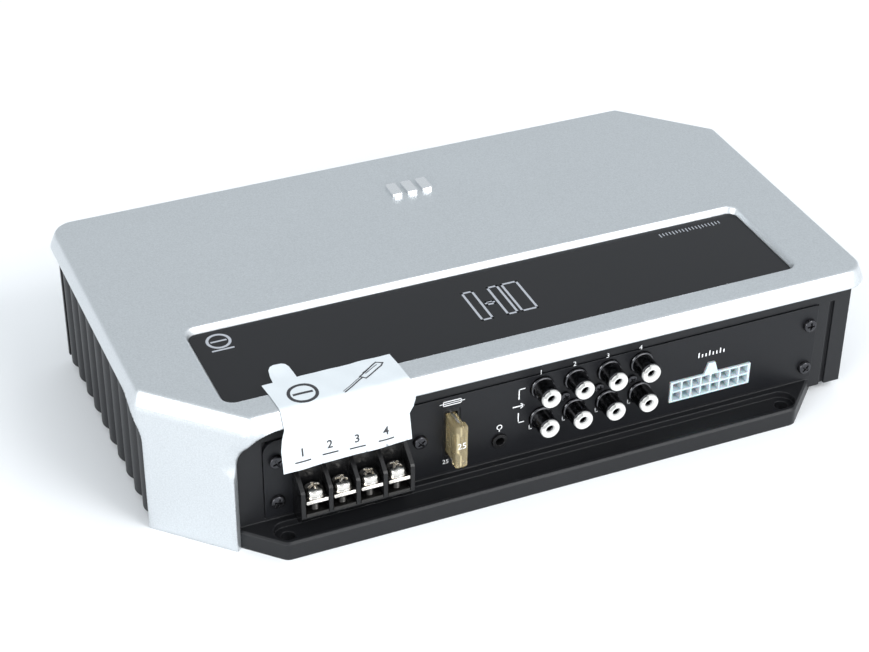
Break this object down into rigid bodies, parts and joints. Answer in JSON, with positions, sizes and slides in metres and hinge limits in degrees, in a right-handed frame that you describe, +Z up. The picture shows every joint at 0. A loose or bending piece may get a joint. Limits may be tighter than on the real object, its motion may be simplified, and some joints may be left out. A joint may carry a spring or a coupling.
{
  "type": "car amplifier",
  "caption": "Low rectangular in-car signal processor amplifier with cut corners, screw terminals, fuse, phono sockets and multi-way headers, on a flanged cast base.",
  "frame": {"origin": "on the floor plane, under the middle of the unit", "axes": "+X along the connector sides, -Y towards the input side, +Z up"},
  "size_m": [0.292, 0.17, 0.0635],
  "materials": {
    "silver_paint": "fine textured metallic silver paint",
    "gloss_inlay": "gloss black",
    "polished_badge": "polished",
    "black_casting": "satin black powder coat on cast aluminium",
    "black_panel": "satin black",
    "terminal_plastic": "moulded black",
    "nickel": "bright nickel plate",
    "black_plastic": "moulded black",
    "fuse_amber": "clear amber moulding",
    "tinned_metal": "tin plate",
    "dark_nickel": "black nickel plate",
    "white_insulator": "moulded white",
    "natural_nylon": "natural nylon",
    "steel": "plated",
    "gold": "gold plate",
    "black_screw": "black zinc",
    "circuit_board": "green solder mask",
    "zinc": "zinc plate",
    "chip_epoxy": "moulded epoxy",
    "grey_silicone": "silicone sheet",
    "ferrite": "sintered",
    "copper": "enamelled copper",
    "capacitor_sleeve": "shrink sleeve",
    "label_vinyl": "white vinyl"
  },
  "bodies": {
    "housing": {"amp_chips": "chip_epoxy", "board_screws": "zinc", "chassis_base": "black_casting", "clamp_bar": "steel", "clamp_screws": "zinc", "control_port": "black_plastic", "control_port_contacts": "gold", "cover_emblem": "polished_badge", "cover_inlay": "gloss_inlay", "cover_screws": "steel", "dsp_chip": "chip_epoxy", "filter_capacitors": "capacitor_sleeve", "fuse_clips": "tinned_metal", "fuse_holder": "black_plastic", "input_header": "natural_nylon", "input_header_pins": "tinned_metal", "input_panel": "black_panel", "input_panel_screws": "black_screw", "main_board": "circuit_board", "mic_jack": "black_plastic", "output_inductors": "ferrite", "output_panel": "black_panel", "output_panel_screws": "black_screw", "rca_input_contacts": "tinned_metal", "rca_input_housing": "black_plastic", "rca_input_insulators": "white_insulator", "rca_input_screws": "black_screw", "rca_input_shells": "dark_nickel", "rca_output_contacts": "tinned_metal", "rca_output_housing": "black_plastic", "rca_output_insulators": "white_insulator", "rca_output_screws": "black_screw", "rca_output_shells": "dark_nickel", "speaker_header": "natural_nylon", "speaker_header_pins": "tinned_metal", "terminal_block": "terminal_plastic", "terminal_label": "label_vinyl", "terminal_plates": "nickel", "thermal_pads": "grey_silicone", "top_cover": "silver_paint", "toroid_core": "ferrite", "toroid_winding": "copper", "usb_shell": "steel", "usb_tongue": "black_plastic"},
    "clamp_1": {"terminal_clamp_1": "nickel", "terminal_washer_1": "nickel"},
    "screw_1": {"terminal_screw_1": "nickel"},
    "clamp_2": {"terminal_clamp_2": "nickel", "terminal_washer_2": "nickel"},
    "screw_2": {"terminal_screw_2": "nickel"},
    "clamp_3": {"terminal_clamp_3": "nickel", "terminal_washer_3": "nickel"},
    "screw_3": {"terminal_screw_3": "nickel"},
    "clamp_4": {"terminal_clamp_4": "nickel", "terminal_washer_4": "nickel"},
    "screw_4": {"terminal_screw_4": "nickel"},
    "fuse": {"fuse_body": "fuse_amber", "fuse_element": "tinned_metal"}
  },
  "joints": [
    {"name": "clamp_lift_1", "type": "slide", "parent": "housing", "child": "clamp_1", "axis": [0, 0, 1], "range_m": [-0.00421, 0.00106]},
    {"name": "screw_turn_1", "type": "hinge", "parent": "clamp_1", "child": "screw_1", "pos_m": [-0.0884, -0.0759, 0.0216], "axis": [0, 0, 1], "continuous": true},
    {"name": "clamp_lift_2", "type": "slide", "parent": "housing", "child": "clamp_2", "axis": [0, 0, 1], "range_m": [-0.00421, 0.00106]},
    {"name": "screw_turn_2", "type": "hinge", "parent": "clamp_2", "child": "screw_2", "pos_m": [-0.0776, -0.0759, 0.0216], "axis": [0, 0, 1], "continuous": true},
    {"name": "clamp_lift_3", "type": "slide", "parent": "housing", "child": "clamp_3", "axis": [0, 0, 1], "range_m": [-0.00421, 0.00106]},
    {"name": "screw_turn_3", "type": "hinge", "parent": "clamp_3", "child": "screw_3", "pos_m": [-0.0668, -0.0759, 0.0216], "axis": [0, 0, 1], "continuous": true},
    {"name": "clamp_lift_4", "type": "slide", "parent": "housing", "child": "clamp_4", "axis": [0, 0, 1], "range_m": [-0.00421, 0.00106]},
    {"name": "screw_turn_4", "type": "hinge", "parent": "clamp_4", "child": "screw_4", "pos_m": [-0.056, -0.0759, 0.0216], "axis": [0, 0, 1], "continuous": true},
    {"name": "fuse_pull", "type": "slide", "parent": "housing", "child": "fuse", "axis": [0, -1, 0], "range_m": [0, 0.02]}
  ]
}
